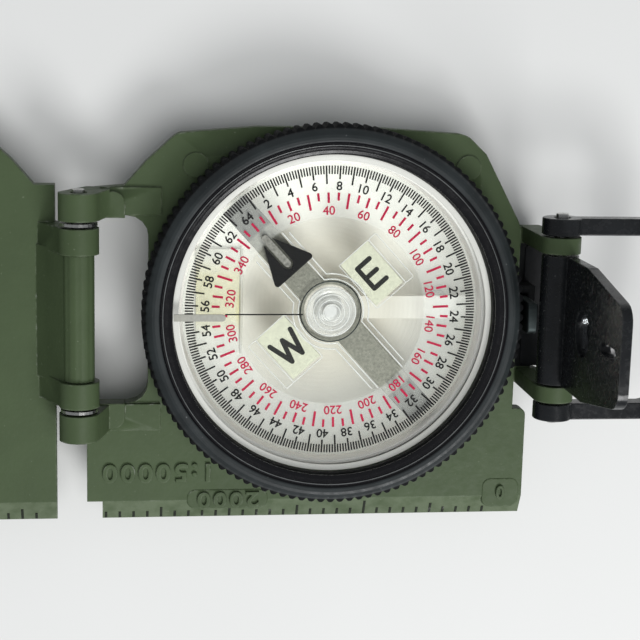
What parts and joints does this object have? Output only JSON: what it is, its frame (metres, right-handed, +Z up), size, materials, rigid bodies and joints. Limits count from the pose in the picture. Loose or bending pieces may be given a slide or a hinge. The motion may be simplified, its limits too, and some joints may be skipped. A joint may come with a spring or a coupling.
{
  "type": "sighting compass",
  "caption": "Folding sighting compass with a floating dial, turning bezel, hinged cover with a sighting wire, rear sight, thumb loop and ruled straight edge.",
  "frame": {"origin": "on the dial's axis, in the flat face under the base", "axes": "+X from the dial to the rear sight and thumb loop, +Z up through the dial, so the ruled edge is along -Y"},
  "size_m": [0.1522, 0.0582, 0.0435],
  "materials": {
    "olive_paint": "semi-matte olive paint, worn on its edges",
    "black_paint": "satin black",
    "plain_steel": "bright",
    "bowl_metal": "matt silver",
    "magnet_metal": "dull grey",
    "crystal": "polished, clear",
    "clear_plastic": "clear, glossy",
    "luminous": "pale yellow-green, matt",
    "seal_rubber": "matt black",
    "jewel": "polished"
  },
  "bodies": {
    "base": {"base_casting": "olive_paint", "damping_bowl": "bowl_metal", "pivot_post": "plain_steel", "pivot_needle": "plain_steel", "lever_fulcrum": "plain_steel", "bowl_light": "luminous", "glass_gasket": "seal_rubber", "lower_glass": "crystal", "snap_ring": "plain_steel", "bezel_keeper_wire": "plain_steel", "bezel_click_spring": "plain_steel", "cover_pin_upper": "plain_steel", "cover_pin_lower": "plain_steel", "hinge_washer_upper": "plain_steel", "hinge_washer_lower": "plain_steel", "sight_pin": "plain_steel"},
    "bezel": {"bezel_ring": "black_paint", "bezel_glass": "crystal", "bezel_line": "luminous"},
    "dial": {"dial_disc": "clear_plastic", "magnet_bar": "magnet_metal", "dial_hub": "clear_plastic", "dial_jewel": "jewel", "north_arrow": "black_paint", "north_vial": "luminous", "east_plate": "luminous", "west_plate": "luminous"},
    "cover": {"cover_plate": "olive_paint", "sighting_wire": "plain_steel", "cover_vial_far": "luminous", "cover_vial_near": "luminous"},
    "sight": {"sight_bracket": "black_paint", "eye_lens": "crystal", "lens_keeper": "black_paint"},
    "loop": {"thumb_loop": "black_paint"},
    "lever": {"lock_lever": "plain_steel"},
    "plunger": {"lock_plunger": "plain_steel"}
  },
  "joints": [
    {"name": "cover_hinge", "type": "hinge", "parent": "base", "child": "cover", "pos_m": [-0.0356, 0, 0.0155], "axis": [0, 1, 0], "range_deg": [0, 180]},
    {"name": "sight_fold", "type": "hinge", "parent": "base", "child": "sight", "pos_m": [0.0317, 0, 0.0165], "axis": [0, -1, 0], "range_deg": [-10, 90]},
    {"name": "loop_swing", "type": "hinge", "parent": "base", "child": "loop", "pos_m": [0.0317, 0, 0.0165], "axis": [0, -1, 0], "range_deg": [-95, 50]},
    {"name": "bezel_turn", "type": "hinge", "parent": "base", "child": "bezel", "pos_m": [0, 0, 0.0108], "axis": [0, 0, 1], "continuous": true},
    {"name": "dial_spin", "type": "hinge", "parent": "base", "child": "dial", "pos_m": [0, 0, 0.011], "axis": [0, 0, 1], "continuous": true},
    {"name": "lever_tilt", "type": "hinge", "parent": "base", "child": "lever", "pos_m": [0.017, 0, 0.0069], "axis": [0, 1, 0], "range_deg": [-0.5, 4.3]},
    {"name": "plunger_press", "type": "slide", "parent": "base", "child": "plunger", "axis": [0, 0, -1], "range_m": [-0.0001, 0.00082]}
  ],
  "couplings": [
    {"joint": "lever_tilt", "follows": "sight_fold", "ratio": 0.0467},
    {"joint": "plunger_press", "follows": "sight_fold", "m_per_rad": 0.00051}
  ]
}
